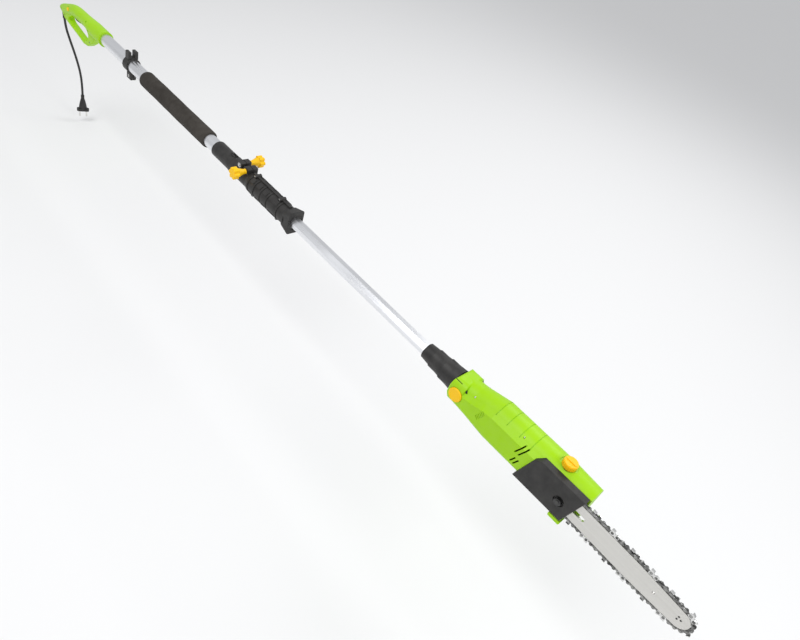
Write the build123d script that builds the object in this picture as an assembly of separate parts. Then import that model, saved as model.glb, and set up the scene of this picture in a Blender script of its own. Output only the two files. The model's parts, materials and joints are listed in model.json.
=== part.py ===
from build123d import *
import math
import os

# Telescoping electric pole saw. Millimetres. +X runs from the rear handle to the bar tip, +Z is up,
# -Y is the side that carries the bar and its cover. The origin is on the pole's axis, at the middle
# of the foam front grip.

# ---- Fits ----
FIT = 0.1                 # between pieces that are fixed together
RUN = 0.06                # radial clearance of a turning or sliding fit
GAP = 0.4                 # between separate moving pieces

# ---- Pole ----
tube_r = 16.0             # outer tube
tube_wall = 1.5
tube_rear_x = -430.0
tube_front_x = 300.0
inner_flats = 25.0        # octagonal inner tube, across flats
inner_wall = 1.4
inner_rear_x = -20.0
reach = 1011.0            # from the grip's middle to the tilt pivot at rest
inner_front_x = reach - 71.0
bush_length = 20.0

# ---- Foam grip ----
foam_r = tube_r + 5.0
foam_half = 151.0

# ---- Rear handle ----
socket_r = tube_r + 4.5
socket_rear_x = -440.0
socket_front_x = -375.0
handle_wall = 2.6
loop_half = 9.5           # half thickness of the guard loop
# Stations of the upper grip: x, centre z, half width, half height
grip_stations = [
    (-647, -25, 6.5, 5), (-637, -22, 11, 9.5), (-625, -19.5, 13, 12), (-605, -14, 14.5, 14),
    (-572, -4, 15, 15.5), (-552, 0.5, 15.3, 15), (-515, 2.5, 15.7, 14.8), (-480, 2.6, 16.5, 15.7),
    (-455, 0.5, socket_r - 1.5, socket_r - 1.5), (socket_rear_x, 0, socket_r - 0.5, socket_r - 0.5),
]
loop_outline = [
    (-638, -19), (-642, -28), (-627, -33), (-615, -43), (-581, -48.5), (-530, -56), (-493, -63), (-467, -59),
    (-443, -43), (-424, -21), (-430, 1), (-560, -2), (-605, -9),
]
opening_outline = [(-592, -34), (-562, -14.5), (-475, -13.5), (-463, -27), (-466, -41), (-490, -55), (-576, -41.5)]
switch_x, switch_z = -539.0, 8.0
trigger_pivot = (-496.0, -3.0)
trigger_half = 4.5
trigger_outline = [(-490, 1), (-500, 2), (-548, -4), (-556, -9), (-558, -18), (-545, -22), (-520, -19), (-492, -11)]
lock_x, lock_z, lock_r = -574.0, -3.0, 5.0
lock_travel = 2.5
handle_screws = [(-626, -20), (-611, -33), (-455, -43), (-442, -6)]

# ---- Mains cord and plug ----
relief_x = -637.0
relief_top_z = -26.0
relief_end_z = -54.0
cord_r = 3.25
cord_points = [
    (relief_x, 0, relief_end_z), (-636, 1, -76), (-627, 8, -112), (-613, 18, -158), (-604, 26, -205),
    (-602, 29, -248), (-602, 29, -276),
]
plug_length = 52.0
pin_r, pin_length, pin_spacing = 2.4, 19.0, 19.0
plug_turn = 72.0          # of the pin row about the plug's axis, from +X

# ---- Cord clip ----
clip_x, clip_half = -231.0, 11.0
clip_wall = 3.4
fork_top_z = tube_r + 20.0
tab_bottom_z = -tube_r - 22.0

# ---- Collar and telescope clamp ----
collar_rear_x, collar_front_x = 189.0, 262.0
collar_r = tube_r + 3.0
clamp_front_x = 492.0
clamp_r = tube_r + 5.5
clamp_bore_r = tube_r + 2.5
neck_r = tube_r + 4.0
neck_front_x = 328.0
far_knob_x, near_knob_x = 292.0, 318.0
bolt_z = tube_r + 5.0
bolt_r = 3.0
lug_half, lug_top_z = 13.0, bolt_z + 8.0
shell_screw_x = (346.0, 438.0)
rib_places = (338.0, 360.0, 384.0, 408.0, 446.0)
boss_z = tube_r + 7.0
knob_r, knob_depth = 13.5, 13.0
knob_face_y = 48.0

# ---- Connector sleeve and tilt pivot ----
sleeve_rear_x, sleeve_front_x = 908.0, 993.0
sleeve_rear_r, sleeve_front_r = 16.0, 24.0
pivot_x = 1011.0          # the head is drawn round this place
drum_r, drum_half = 22.0, 24.0
ear_y = 30.5
ear_outline = [(-19, -9), (-19, 8), (-15, 26.8), (12, 27.4), (12, -27), (-1, -26), (-13, -20)]   # from the pivot
tilt_max = 30.0
button_r, button_proud, button_sunk = 14.0, 3.0, 3.4
pivot_pin_r = 5.0

# ---- Head housing ----
head_front_x = 1290.0
head_wall = 2.5
# Sections: x, near side, crown radius, crown centre z, crease angle, floor
head_stations = [
    (pivot_x, 30.5, 27.2, 0.0, 152.0, 26.0), (1040.0, 31.0, 28.0, 1.5, 145.0, 28.0),
    (1067.0, 32.0, 31.0, 4.3, 136.0, 31.0), (1090.0, 33.0, 33.3, 7.0, 135.7, 33.0),
    (1225.0, 33.0, 33.3, 7.0, 135.7, 33.0), (head_front_x, 32.0, 30.5, 6.0, 135.7, 32.0),
]
chamber_y = -17.0         # inner face of the bar chamber
head_screws = [(1042.0, -18.0), (1042.0, 20.0), (1150.0, 32.0), (1150.0, -27.0)]

# ---- Bar, chain and drive ----
sprocket_x, sprocket_z = 1212.0, -2.4
bar_y = -24.0
bar_droop = 2.0           # degrees, tip down
bar_thick = 4.0
bar_half = 21.5
bar_rear, bar_shoulder, nose_centre = 20.0, 187.0, 270.5
nose_r = 17.2
groove_depth, groove_width = 6.4, 1.6
stud_along, stud_r = 41.5, 4.0
slot_start, slot_end, slot_width = 30.0, 89.0, 2 * stud_r + 0.4
oil_hole_along = 224.5
nose_rivets = [
    (nose_centre + 3.6 * math.cos(math.radians(a)), 3.6 * math.sin(math.radians(a))) for a in (0, 120, 240)]
tension_along, tension_up = 37.0, 13.0
tension_lane = 4.5        # from the bar's middle to the screw, away from the cover
tension_r = 1.5
rivet_rise = 4.5          # rivet line above the bar's rail
drive_pitch_r = 18.2
nominal_pitch = 19.05
link_gauge, strap_thick = 1.27, 1.2
motor_y, motor_z = 7.0, sprocket_z
motor_r = 21.0
pinion_teeth, crown_teeth = 8, 24
pinion_r, crown_r = 7.0, 21.0
shaft_r = 5.0

# ---- Sprocket cover ----
cover_face_y = -36.0
cover_wall = 2.2
roof_line = 11.8          # y + z of the roof's outside
cover_outline = [(1170, -36), (1186.5, 25), (1198, 33.5), (1287, 33.5), (1273, -36)]

# ---- Oil filler ----
cap_x, cap_y = 1229.0, -4.0
cap_r, cap_base_z, cap_top_z = 13.0, 39.4, 50.5
neck_bore_r = 8.0

os.makedirs("parts", exist_ok=True)


# ---- Shape helpers ----
def rod_x(x0, x1, r, y=0.0, z=0.0):
    """Round bar along X."""
    return extrude(Plane.YZ.offset(x0) * Pos(y, z) * Circle(r), x1 - x0)


def rod_y(x, z, y0, y1, r):
    """Round bar along Y."""
    return extrude(Plane.XZ.offset(-y1) * Pos(x, z) * Circle(r), y1 - y0)


def rod_z(x, y, z0, z1, r):
    """Round bar along Z."""
    return extrude(Plane.XY.offset(z0) * Pos(x, y) * Circle(r), z1 - z0)


def tube_x(x0, x1, outer, inner):
    """Round tube along X."""
    return rod_x(x0, x1, outer) - rod_x(x0 - 1, x1 + 1, inner)


def tube_y(x, z, y0, y1, outer, inner):
    """Round tube along Y."""
    return rod_y(x, z, y0, y1, outer) - rod_y(x, z, y0 - 1, y1 + 1, inner)


def block(x0, x1, y0, y1, z0, z1):
    """Box between two corners."""
    return Pos((x0 + x1) / 2, (y0 + y1) / 2, (z0 + z1) / 2) * Box(x1 - x0, y1 - y0, z1 - z0)


def side_face(points, corner=0.0):
    """Face in the XZ plane with every corner rounded alike."""
    face = make_face(Polyline(*[(x, z) for x, z in points], close=True))
    if corner > 0:
        face = fillet(face.vertices(), corner)
    return face


def plate_y(face, y0, y1):
    """A side face carried from y0 to y1."""
    return extrude(Plane.XZ.offset(-y1) * face, y1 - y0)


def octagon_x(x0, x1, flats):
    """Octagonal bar along X with flats facing up, down and sideways."""
    outline = Rot(0, 0, 22.5) * RegularPolygon(flats / 2, 8, major_radius=False)
    return extrude(Plane.YZ.offset(x0) * outline, x1 - x0)


def hex_y(x, z, y0, y1, flats):
    """Hexagonal bar along Y."""
    outline = Pos(x, z) * RegularPolygon(flats / 2, 6, major_radius=False)
    return extrude(Plane.XZ.offset(-y1) * outline, y1 - y0)


def left_of(shape, limit=0.0):
    """What lies on the -Y side of a plane."""
    return shape & block(-1000, 1600, -200, limit, -400, 200)


def right_of(shape, limit=0.0):
    """What lies on the +Y side of a plane."""
    return shape & block(-1000, 1600, limit, 200, -400, 200)


def group(shapes):
    """Separate solids that share one node."""
    return Compound(children=[s for shape in shapes for s in shape.solids()])


def save(name, shape):
    """Write one node."""
    export_step(shape, f"parts/{name}.step")


def save_head(name, shape):
    """Write one node of the head, drawn round pivot_x and carried to its reach along the pole."""
    save(name, Pos(reach - pivot_x, 0, 0) * shape)


# ---- Rear handle ----
def grip_loft(shrink=0.0):
    """Elliptical grip through its stations; shrink makes the inner space."""
    faces = []
    for x, centre, half_y, half_z in grip_stations:
        outline = Ellipse(half_y - shrink, half_z - shrink)
        faces.append(Plane.YZ.offset(x) * Pos(0, centre) * outline)
    return loft(faces)


def handle_body():
    """Grip, tube socket and guard loop before it is split."""
    loop_face = side_face(loop_outline, 4.0) - side_face(opening_outline, 5.0)
    loop = plate_y(loop_face, -loop_half, loop_half)
    loop = fillet([e for e in loop.edges() if abs(abs(e.center().Y) - loop_half) < 0.01], 2.6)
    socket = rod_x(socket_rear_x, socket_front_x, socket_r)
    opening = plate_y(side_face(opening_outline, 5.0), -30, 30)
    return (grip_loft() - opening) + socket + loop


def handle_pieces():
    """Two shells, their screws and what the handle carries."""
    body = handle_body()
    hollow = grip_loft(handle_wall) & block(-590, -446, -30, 30, -8, 30)
    trigger_slot = block(-562, -488, -trigger_half - GAP, trigger_half + GAP, -30, 4)
    relief_seat = rod_z(relief_x, 0, relief_top_z - 12, relief_top_z + 6 + FIT, 5.6 + FIT)
    flange_seat = rod_z(relief_x, 0, relief_top_z + 3 - FIT, relief_top_z + 6 + FIT, 7.0 + FIT)
    tube_seat = rod_x(tube_rear_x - FIT, socket_front_x + 1, tube_r + FIT)
    lead_way = rod_x(-450, tube_rear_x, 5.0, 0, 8.0)
    posts = [rod_y(x, z, -19, 19, 4.2) for x, z in handle_screws] + [
        rod_y(*trigger_pivot, -19, 19, 4.0)]
    shell = body - hollow
    for post in posts:
        shell = shell + (post & body)
    shell = shell - trigger_slot - relief_seat - flange_seat - tube_seat - lead_way
    shell = shell - rod_y(*trigger_pivot, -11, 11, 1.5 + FIT)
    shell = shell - rod_y(lock_x, lock_z, -30, -8, lock_r + RUN * 3)
    shell = shell - rod_y(lock_x, lock_z, -13, -8 + lock_travel + GAP, lock_r + 2)
    shell = shell - plate_y(side_face([(-464, 9), (-458.5, 9), (-455.5, 17), (-461, 17)]), -30, -13.5)
    for x, z in handle_screws:
        depth = screw_depth(x)
        shell = shell - rod_y(x, z, -depth, depth - 2, 1.6 + FIT) - rod_y(x, z, -30, -depth + 3, 3.3)
    return left_of(shell), right_of(shell)


def screw_depth(x):
    """Half width of the handle where a shell screw goes in."""
    return {-442: 17.0, -626: 10.5}.get(x, loop_half)


def handle_screw_set():
    """Pan head screws that hold the shells together."""
    screws = []
    for x, z in handle_screws:
        depth = screw_depth(x)
        shank = rod_y(x, z, -depth + 3, depth - 3, 1.6)
        head = rod_y(x, z, -depth + 0.8, -depth + 3, 3.1)
        socket = rod_y(x, z, -depth, -depth + 2, 1.2)
        screws.append(shank + head - socket)
    return group(screws)


def trigger():
    """Squeeze lever, hinged at its front end."""
    lever = plate_y(side_face(trigger_outline, 2.5), -trigger_half, trigger_half)
    return lever - rod_y(*trigger_pivot, -10, 10, 1.5 + RUN)


def trigger_spring():
    """Return spring between the lever and the switch."""
    seat_z = -2.9
    coil = Helix(pitch=1.5, height=switch_z - 5 - 1.0 - seat_z, radius=2.6)
    wire = sweep(Plane(origin=coil @ 0, z_dir=coil % 0) * Circle(0.4), path=coil)
    return Pos(switch_x - 5, 0, seat_z + 0.45) * wire


def switch_body():
    """Sealed snap switch over the lever."""
    case = block(switch_x - 20, switch_x + 22, -5, 5, switch_z - 5, switch_z + 2.5)
    return fillet(case.edges().filter_by(Axis.Y), 1.5)


def lock_button():
    """Lock-off button in the left shell."""
    cap = rod_y(lock_x, lock_z, -16.8, -9, lock_r)
    cap = fillet(cap.edges().sort_by(Axis.Y)[0], 1.2)
    return cap + rod_y(lock_x, lock_z, -10.5, -8, lock_r + 1.5)


def strain_relief():
    """Ribbed, tapered boot with a flange held between the shells."""
    boot = loft([
        Plane.XY.offset(relief_end_z) * Pos(relief_x, 0) * Circle(4.4),
        Plane.XY.offset(relief_top_z) * Pos(relief_x, 0) * Circle(5.6),
    ])
    boot = boot + rod_z(relief_x, 0, relief_top_z, relief_top_z + 6, 5.6)
    boot = boot + rod_z(relief_x, 0, relief_top_z + 3, relief_top_z + 6, 7.0)
    for i in range(5):
        z = relief_end_z + 4.5 + i * 4.2
        boot = boot - (rod_z(relief_x, 0, z, z + 1.6, 9) - rod_z(relief_x, 0, z, z + 1.6, 3.9 + i * 0.2))
    return boot - rod_z(relief_x, 0, relief_end_z - 1, relief_top_z + 7, cord_r + FIT)


def cord_radii(points):
    """Bend radius at each inner point: 0.45 of the shorter run over the tangent of half the turn."""
    radii = []
    for before, here, after in zip(points, points[1:], points[2:]):
        run_in = Vector(*here) - Vector(*before)
        run_out = Vector(*after) - Vector(*here)
        half_turn = math.radians(run_in.get_angle(run_out)) / 2
        radii.append(0.45 * min(run_in.length, run_out.length) / math.tan(half_turn))
    return radii


def mains_cord():
    """Hanging cord: straight runs joined by tangent arcs."""
    radii = cord_radii(cord_points)
    path = FilletPolyline(*cord_points, radius=radii)
    start = Plane(origin=path @ 0, z_dir=path % 0)
    tube = sweep(start * Circle(cord_r), path=path)
    print("cord radii", [round(r, 1) for r in radii], "length", round(path.length, 1))
    print("cord volume check", round(tube.volume / (math.pi * cord_r ** 2 * path.length), 4))
    return tube


def plug_frame():
    """Place of the plug: its own -Z points along the cord's last run."""
    end, before = Vector(*cord_points[-1]), Vector(*cord_points[-2])
    return Plane(origin=end, x_dir=Vector(math.cos(math.radians(plug_turn)), math.sin(math.radians(plug_turn)), 0),
                 z_dir=before - end)


def plug_body():
    """Flat two-pin plug: round neck, flat waist and a wide flange."""
    neck = Pos(0, 0, -7) * Cylinder(5, 14)
    waist = loft([
        Pos(0, 0, -12) * Ellipse(5.6, 5.2),
        Pos(0, 0, -26) * Ellipse(9, 6.6),
        Pos(0, 0, -plug_length + 7) * Ellipse(12, 6.8),
    ])
    flange = extrude(Pos(0, 0, -plug_length) * RectangleRounded(35, 14, 6.5), 7.5)
    shape = neck + waist + flange
    for side in (-1, 1):
        shape = shape - Pos(side * pin_spacing / 2, 0, -plug_length + 3) * Cylinder(pin_r - 0.3 + FIT, 8)
    return plug_frame() * shape


def plug_pins():
    """Two round pins with rounded tips, seated in the plug."""
    pins = []
    for side in (-1, 1):
        pin = Pos(0, 0, -plug_length - pin_length / 2) * Cylinder(pin_r, pin_length)
        pin = fillet(pin.edges().sort_by(Axis.Z)[0], 1.6)
        root = Pos(0, 0, -plug_length + 2.5) * Cylinder(pin_r - 0.3, 5)
        pins.append(plug_frame() * Pos(side * pin_spacing / 2, 0, 0) * (pin + root))
    return group(pins)


# ---- Foam grip ----
def foam_grip():
    """Soft sleeve on the pole with rounded ends."""
    sleeve = rod_x(-foam_half, foam_half, foam_r)
    sleeve = fillet(sleeve.edges().filter_by(GeomType.CIRCLE), 2.5)
    return sleeve - rod_x(-foam_half - 1, foam_half + 1, tube_r + FIT)


# ---- Cord clip ----
def cord_clip():
    """Split ring with a forked rest on top and a screw tab below."""
    ring = tube_x(clip_x - clip_half, clip_x + clip_half, tube_r + FIT + clip_wall, tube_r + FIT)
    stem = block(clip_x - 8, clip_x + 8, -13, 13, tube_r, fork_top_z)
    notch = block(clip_x - 9, clip_x + 9, -5, 5, fork_top_z - 13, fork_top_z + 1)
    bottom = rod_x(clip_x - 9, clip_x + 9, 5, 0, fork_top_z - 13)
    fork = fillet((stem - notch - bottom).edges().filter_by(Axis.X), 1.2)
    fork = fork - rod_x(clip_x - 9, clip_x + 9, tube_r + FIT + clip_wall / 2)
    tab = block(clip_x - 9, clip_x + 9, -8, 8, tab_bottom_z, -tube_r - 1)
    tab = fillet(tab.edges().filter_by(Axis.X), 3.0) - rod_x(clip_x - 10, clip_x + 10, tube_r + FIT + 1)
    split = block(clip_x - 20, clip_x + 20, -0.8, 0.8, tab_bottom_z - 1, -tube_r + 3)
    hole = rod_y(clip_x, tab_bottom_z + 9, -10, 10, 2.0 + FIT)
    seats = rod_y(clip_x, tab_bottom_z + 9, -10, -5, 4.3) + hex_y(clip_x, tab_bottom_z + 9, 5, 10, 7.4)
    return ring + fork + tab - split - hole - seats


def clip_screw():
    """Screw across the clip's tab."""
    z = tab_bottom_z + 9
    head = fillet(rod_y(clip_x, z, -8.6, -5, 4.0).edges().sort_by(Axis.Y)[0], 1.0)
    return rod_y(clip_x, z, -5, 9, 2.0) + head - block(clip_x - 5, clip_x + 5, -9, -7.4, z - 0.5, z + 0.5)



# ---- Collar and telescope clamp ----
def collar():
    """Smooth sleeve with a rim and a stepped notch on top."""
    ring = tube_x(collar_rear_x, collar_front_x, collar_r, tube_r + FIT)
    ring = fillet(ring.edges().group_by(Axis.X)[0].sort_by(Edge.length)[-1], 1.5)
    rim = tube_x(collar_front_x - 5, collar_front_x, collar_r + 0.8, tube_r + FIT)
    fins = [block(collar_front_x - 16, collar_front_x, y, y + 1.6, tube_r - 1, tube_r + 6) for y in (-4.6, 3.0)]
    ring = ring + rim
    for fin in fins:
        ring = ring + fin
    ring = ring - rod_x(collar_rear_x, collar_front_x, tube_r + FIT)
    return ring - block(collar_front_x - 22, collar_front_x + 1, -2.2, 2.2, tube_r - 2, tube_r + 14)


def clamp_body():
    """Clamp around both tubes, before it is split in two."""
    x0 = collar_front_x + GAP
    neck = rod_x(x0, neck_front_x, neck_r)
    shoulder = loft([
        Plane.YZ.offset(neck_front_x) * Circle(neck_r),
        Plane.YZ.offset(neck_front_x + 10) * Circle(clamp_r + 1.2),
    ])
    barrel = rod_x(neck_front_x + 10, clamp_front_x - 18, clamp_r)
    mouth = loft([
        Plane.YZ.offset(clamp_front_x - 22) * RectangleRounded(2 * clamp_r - 3, 2 * clamp_r + 1, 12),
        Plane.YZ.offset(clamp_front_x) * RectangleRounded(2 * clamp_r - 3, 2 * clamp_r + 11, 8),
    ])
    body = neck + shoulder + barrel + mouth
    for x in rib_places:
        body = body + rod_x(x, x + 4, clamp_r + 1.3)
    for angle in (52, 128):
        for x, x_end in zip(rib_places[:-1], rib_places[1:]):
            panel = block(x + 7, x_end - 3, -6, 6, clamp_r - 2, clamp_r + 1.1)
            for turned in (angle, angle + 180):
                body = body + Rot(turned - 90, 0, 0) * fillet(panel.edges().filter_by(Axis.Z), 2.0)
    for side in (-1, 1):
        flange = block(neck_front_x + 6, clamp_front_x - 22, -3.2, 3.2, clamp_r - 3, boss_z + 1.5)
        body = body + Rot(90 - 90 * side, 0, 0) * flange
        for x in shell_screw_x:
            body = body + rod_y(x, side * boss_z, -8, 8, 4.6)
    for x, half in ((far_knob_x, lug_half), (near_knob_x, lug_half)):
        lug = block(x - 8.5, x + 8.5, -half, half, tube_r - 6, lug_top_z)
        body = body + fillet(lug.edges().filter_by(Axis.Y), 3.0)
    return body


def clamp_shells():
    """Left and right clamp shells with bores, bolt holes and screw holes."""
    body = clamp_body()
    body = body - rod_x(collar_front_x, tube_front_x + GAP, tube_r + FIT)
    body = body - rod_x(tube_front_x, clamp_front_x + 1, clamp_bore_r)
    slit = block(far_knob_x - 12, near_knob_x + 12, -0.6, 0.6, tube_r, lug_top_z + 1)
    body = body - slit
    for x in (far_knob_x, near_knob_x):
        body = body - rod_y(x, bolt_z, -20, 20, bolt_r + RUN)
    body = body - hex_y(far_knob_x, bolt_z, -lug_half - 1, -lug_half + 4, 10 + 2 * FIT)
    body = body - hex_y(near_knob_x, bolt_z, lug_half - 4, lug_half + 1, 10 + 2 * FIT)
    for x in shell_screw_x:
        for side in (-1, 1):
            body = body - rod_y(x, side * boss_z, -9, 6, 1.5 + FIT) - rod_y(x, side * boss_z, -9, -5.5, 3.1)
    return left_of(body), right_of(body)


def shell_screw_set():
    """Screws through the clamp's bosses."""
    screws = []
    for x in shell_screw_x:
        for side in (-1, 1):
            z = side * boss_z
            screw = rod_y(x, z, -5.5, 5.5, 1.5) + rod_y(x, z, -7.6, -5.5, 3.0)
            screws.append(screw - rod_y(x, z, -8, -6.2, 1.1))
    return group(screws)


def clamp_knob(x, side):
    """Six-lobed knob on a flared neck; side is -1 for the near one and +1 for the far one."""
    start, flare, face = lug_half + 1.4, 26.0, knob_face_y
    neck = revolve(Plane.XY * make_face(Polyline(
        (0, start), (6.0, start), (5.4, start + 4), (7.5, flare), (11.0, face - knob_depth + 2),
        (11.0, face - 3), (0, face - 3), close=True)), Axis.Y)
    lobes = Circle(9.0)
    for i in range(6):
        lobes = lobes + Rot(0, 0, 60 * i) * Pos(knob_r - 4.4, 0) * Circle(4.4)
    head = extrude(Plane.XZ.offset(-face) * lobes, knob_depth)
    head = fillet(head.faces().sort_by(Axis.Y)[-1].edges(), 1.6)
    knob = neck + head - rod_y(0, 0, start - 1, start + 20, bolt_r + FIT)
    return Pos(x, 0, bolt_z) * (knob if side > 0 else Rot(0, 0, 180) * knob)


def clamp_bolt(x, side):
    """Threaded bolt fixed in its knob."""
    near, far = sorted((-side * (lug_half + 1.5), side * (lug_half + 21)))
    return rod_y(x, bolt_z, near, far, bolt_r)


def clamp_nuts():
    """Nuts held in the lugs, one for each bolt."""
    nuts = []
    for x, y0 in ((far_knob_x, -lug_half), (near_knob_x, lug_half - 4)):
        nut = hex_y(x, bolt_z, y0, y0 + 4, 10.0)
        nuts.append(nut - rod_y(x, bolt_z, y0 - 1, y0 + 5, bolt_r + RUN))
    return group(nuts)


def octagon_ring(x0, x1, outer):
    """Ring with an octagonal bore that guides the inner tube."""
    return rod_x(x0, x1, outer) - octagon_x(x0 - 1, x1 + 1, inner_flats + 0.4)


def inner_tube():
    """Octagonal tube that carries the head."""
    wall = octagon_x(inner_rear_x, inner_front_x, inner_flats)
    return wall - octagon_x(inner_rear_x - 1, inner_front_x + 1, inner_flats - 2 * inner_wall)


def slide_bush():
    """Plastic bush on the inner tube's rear end, running in the outer tube."""
    ring = rod_x(inner_rear_x - 3, inner_rear_x + bush_length, tube_r - tube_wall - RUN)
    ring = ring - octagon_x(inner_rear_x, inner_rear_x + bush_length + 1, inner_flats + 2 * FIT)
    return ring - rod_x(inner_rear_x - 4, inner_rear_x + 1, 9.0)


# ---- Connector sleeve ----
def connector_sleeve():
    """Stepped, tapered sleeve on the inner tube, ending in the drum that the head tilts on."""
    cone = loft([
        Plane.YZ.offset(sleeve_rear_x) * Circle(sleeve_rear_r),
        Plane.YZ.offset(sleeve_front_x) * Circle(sleeve_front_r),
    ])
    drum = rod_y(pivot_x, 0, -drum_half, drum_half, drum_r)
    body = cone + drum
    taper = (sleeve_front_r - sleeve_rear_r) / (sleeve_front_x - sleeve_rear_x)
    for x0, x1 in ((930.0, 950.0), (958.0, 976.0)):
        r = sleeve_rear_r + taper * (x0 - sleeve_rear_x)
        step = rod_x(x0, x1, r + 1.5)
        for y_side in (-1, 1):
            pad = block(x0, x1, -9, 9, 5, 40)
            body = body + (step & (Rot(45 * y_side, 0, 0) * pad))
            body = body + (step & (Rot(45 * y_side + 180, 0, 0) * pad))
    bore_end = pivot_x - reach + inner_front_x
    body = body - octagon_x(sleeve_rear_x - 1, bore_end, inner_flats + 2 * FIT)
    body = body - rod_x(bore_end, pivot_x - 8, 8.0)
    slot = block(pivot_x - 10, pivot_x + drum_r + 1, -8, 8, -8, 8)
    return body - slot - rod_y(pivot_x, 0, -drum_half - 1, drum_half + 1, pivot_pin_r + RUN)


def pivot_pin():
    """Pin across the head's ears that the drum turns on."""
    return rod_y(pivot_x, 0, -26, 30, pivot_pin_r) + rod_y(pivot_x, 0, 28, 31.5, 8.5)


def pivot_button():
    """Round release button in the near ear."""
    face = -ear_y - button_proud
    disc = rod_y(pivot_x, 0, face, -ear_y, button_r)
    return fillet(disc.edges().sort_by(Axis.Y)[0], 1.4)


# ---- Head housing ----
def head_section(x, near, crown, centre_z, crease, floor, wall=0.0):
    """Closed section: round crown, crease, flat near side, rounded floor corners."""
    near, floor, corner, crown = near - wall, floor - wall, 14.0 - wall, crown - wall
    angle = math.radians(crease)
    ridge = (x, crown * math.cos(angle), centre_z + crown * math.sin(angle))
    top = (x, 0, centre_z + crown)
    lean = corner * (1 - math.sqrt(0.5))
    right, low_right = (x, crown, centre_z), (x, crown, corner - floor)
    floor_right, floor_left = (x, crown - corner, -floor), (x, corner - near, -floor)
    low_left, high_left = (x, -near, corner - floor), (x, -near, ridge[2] - 8.0)
    edges = [
        ThreePointArc(ridge, top, right), Line(right, low_right),
        ThreePointArc(low_right, (x, crown - lean, lean - floor), floor_right), Line(floor_right, floor_left),
        ThreePointArc(floor_left, (x, lean - near, lean - floor), low_left), Line(low_left, high_left),
        Line(high_left, ridge),
    ]
    return Face(Wire(edges))


def head_solid(wall=0.0):
    """Ruled body through the head's sections."""
    faces = []
    for i, station in enumerate(head_stations):
        x = station[0]
        if wall > 0 and i == len(head_stations) - 1:
            x = x - wall
        faces.append(head_section(x, *station[1:], wall))
    return loft(faces, ruled=True)


def grown(points, amount):
    """Side outline offset outward."""
    return offset(side_face(points), amount)


def chamber(back_y, amount):
    """Space for the bar, chain and cover on the near side."""
    outline = cover_outline[:3] + [(head_front_x + 30, cover_outline[2][1]), (head_front_x + 30, -60),
                                   (cover_outline[0][0] - 6, -60)]
    return plate_y(grown(outline, amount), -60, back_y)


def roof_wedge(amount):
    """Space above the 45 degree roof that the cover and its chamber share."""
    line = roof_line + amount
    face = make_face(Polyline((-80, 80 + line), (60, line - 60), (60, 160), (-80, 160), close=True))
    return extrude(Plane.YZ.offset(1100) * face, 260)


def head_body():
    """Housing with ears, cavity, chamber, vents and filler seat, before it is split."""
    ears = plate_y(side_face([(pivot_x + dx, z) for dx, z in ear_outline], 5.0), -ear_y, 28.0)
    ears = fillet([e for e in ears.edges() if abs(e.center().Y + ear_y) < 0.01], 3.0)
    hood = Plane.YZ.offset(pivot_x - 30) * Pos((28.0 - ear_y) / 2, 0) * RectangleRounded(28.0 + ear_y + 0.1, 55.5, 17)
    ears = ears & extrude(hood, 60)
    shape = head_solid() + ears
    shape = shape - (chamber(chamber_y, 0.3) - roof_wedge(0.4))
    guard = block(1252, 1276, -33, -8, -47, -40) + block(1252, 1276, -16.4, -8, -47, -31)
    shape = shape + fillet(guard.edges().filter_by(Axis.Y).group_by(Axis.Z)[0], 3.0)
    cavity = head_solid(head_wall) - (chamber(chamber_y + head_wall, 0.3 + head_wall) - roof_wedge(0.4 + 1.5 * head_wall))
    cavity = cavity - block(pivot_x - 1, pivot_x + drum_r + 3, -60, 60, -60, 60)
    shape = shape - cavity
    swing = side_face([
        (pivot_x, sleeve_front_r + 0.6), (pivot_x - 61, sleeve_front_r + 0.6), (pivot_x - 61, -65),
        (pivot_x - 57, -62), (pivot_x + 12.6, -sleeve_front_r * math.cos(math.radians(tilt_max)) - 0.8)])
    half = drum_half + 0.5
    shape = shape - plate_y(swing, -half, half)
    shape = shape - rod_y(pivot_x, 0, -half, half, drum_r + GAP)
    shape = shape - block(pivot_x + 10, pivot_x + drum_r + 4, -10, 10, -10, 10)
    shape = shape - rod_y(pivot_x, 0, -ear_y - 1, -ear_y + button_sunk, button_r + GAP)
    shape = shape - rod_y(pivot_x, 0, -ear_y, 40, pivot_pin_r + FIT)
    return shape


def vent_slots():
    """Slanted air slots and five short slots in the near side."""
    slots = []
    for x, z, length in ((1157, 16, 28), (1165, 16, 28), (1156, -12, 17), (1163, -12, 17)):
        slot = Pos(x, z) * Rot(0, 0, 68) * SlotOverall(length, 2.8)
        slots.append(plate_y(slot, -40, -26))
    for i in range(6):
        slot = Pos(1065 + i * 1.7, -3 + i * 3.8) * Rot(0, 0, -38) * SlotOverall(9, 1.3)
        slots.append(plate_y(slot, -40, -26))
    return slots


def crown_grooves():
    """Shallow lines across the crown."""
    cuts = []
    for x in (1090, 1115, 1143, 1169):
        ring = rod_x(x, x + 1.6, 44, 0, 7) - rod_x(x - 1, x + 3, 32.3, 0, 7)
        cuts.append(ring & block(x - 2, x + 4, -26, 45, 4, 50))
    return cuts


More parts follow.
